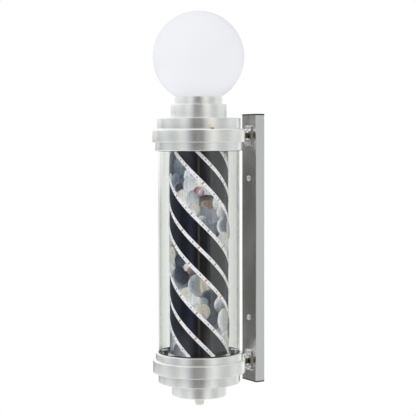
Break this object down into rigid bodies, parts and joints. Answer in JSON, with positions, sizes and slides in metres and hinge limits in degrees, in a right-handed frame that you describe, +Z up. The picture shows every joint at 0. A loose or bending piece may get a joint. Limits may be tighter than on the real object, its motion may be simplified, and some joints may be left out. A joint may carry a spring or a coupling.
{
  "type": "wall-mounted barber pole light",
  "caption": "Upright illuminated barber pole on a wall channel: opal globe, stepped metal ends, clear tube and a turning drum with helical black and mirror stripes and light strips.",
  "frame": {"origin": "centre of the wall channel's back face, on the wall", "axes": "+Z up along the pole, -Y out of the wall towards the pole, +X to the right as seen facing the wall"},
  "size_m": [0.195, 0.2455, 0.828],
  "materials": {
    "satin_aluminium": "turned, fine circumferential brushing, clear anodised",
    "channel_steel": "long-grain satin stainless",
    "zinc_steel": "bright zinc plate",
    "chrome_steel": "polished",
    "dark_steel": "oiled black steel",
    "motor_steel": "pressed, plated can",
    "black_plastic": "fine moulded grain",
    "white_plastic": "moulded",
    "white_pvc": "smooth flexible PVC",
    "cream_nylon": "moulded nylon",
    "white_ceramic": "glazed",
    "rubber": "moulded seal rubber",
    "brass": "turned",
    "clear_acrylic": "clear polished acrylic tube",
    "opal_glass": "opal diffusing, glossy outside",
    "frosted_bulb": "frosted",
    "mirror_film": "crumpled mirror film",
    "black_film": "gloss black vinyl",
    "led_strip": "white flexible circuit with light chips"
  },
  "bodies": {
    "wall_bracket": {"wall_channel": "channel_steel", "channel_plugs": "black_plastic", "hole_plugs": "chrome_steel", "upper_saddle": "zinc_steel", "lower_saddle": "zinc_steel", "saddle_screws": "zinc_steel", "pivot_bolts": "chrome_steel", "pivot_nuts": "zinc_steel"},
    "pole": {"globe": "opal_glass", "globe_gasket": "rubber", "globe_collar": "satin_aluminium", "collar_screws": "dark_steel", "lamp_holder": "white_ceramic", "lamp_holder_screws": "zinc_steel", "bulb_base": "chrome_steel", "bulb": "frosted_bulb", "step_cap": "satin_aluminium", "top_cover": "satin_aluminium", "cover_screws": "zinc_steel", "cover_lock_screw": "brass", "upper_band": "satin_aluminium", "upper_tube_ring": "satin_aluminium", "tube_seals": "rubber", "clear_tube": "clear_acrylic", "lower_tube_ring": "satin_aluminium", "lower_band": "satin_aluminium", "lower_cover": "satin_aluminium", "bottom_cup": "satin_aluminium", "gland_body": "cream_nylon", "gland_nut": "cream_nylon", "gland_seal": "rubber", "gland_locknut": "cream_nylon", "pole_lugs": "satin_aluminium", "lug_screws": "zinc_steel", "base_deck": "zinc_steel", "deck_pillars": "zinc_steel", "deck_screws": "zinc_steel", "gear_motor": "motor_steel", "led_driver": "white_plastic", "terminal_block": "white_plastic", "clip_blocks": "black_plastic", "tube_clips": "chrome_steel", "clip_screws": "chrome_steel", "riser_cable": "white_pvc", "bearing_bridge": "zinc_steel", "bridge_screws": "zinc_steel", "upper_bearing": "chrome_steel", "brush_holder": "black_plastic"},
    "drum": {"drum_tube": "white_plastic", "mirror_wrap": "mirror_film", "black_bands": "black_film", "led_strips": "led_strip", "lower_drum_cap": "black_plastic", "upper_drum_cap": "black_plastic", "drive_coupling": "brass", "drum_screws": "zinc_steel", "motor_shaft": "dark_steel", "upper_axle": "chrome_steel", "slip_ring": "black_plastic"}
  },
  "joints": [
    {"name": "pole_swing", "type": "hinge", "parent": "wall_bracket", "child": "pole", "pos_m": [0, -0.031, 0], "axis": [0, 0, 1], "range_deg": [-45, 45]},
    {"name": "drum_spin", "type": "hinge", "parent": "pole", "child": "drum", "pos_m": [0, -0.148, 0], "axis": [0, 0, 1], "continuous": true}
  ]
}
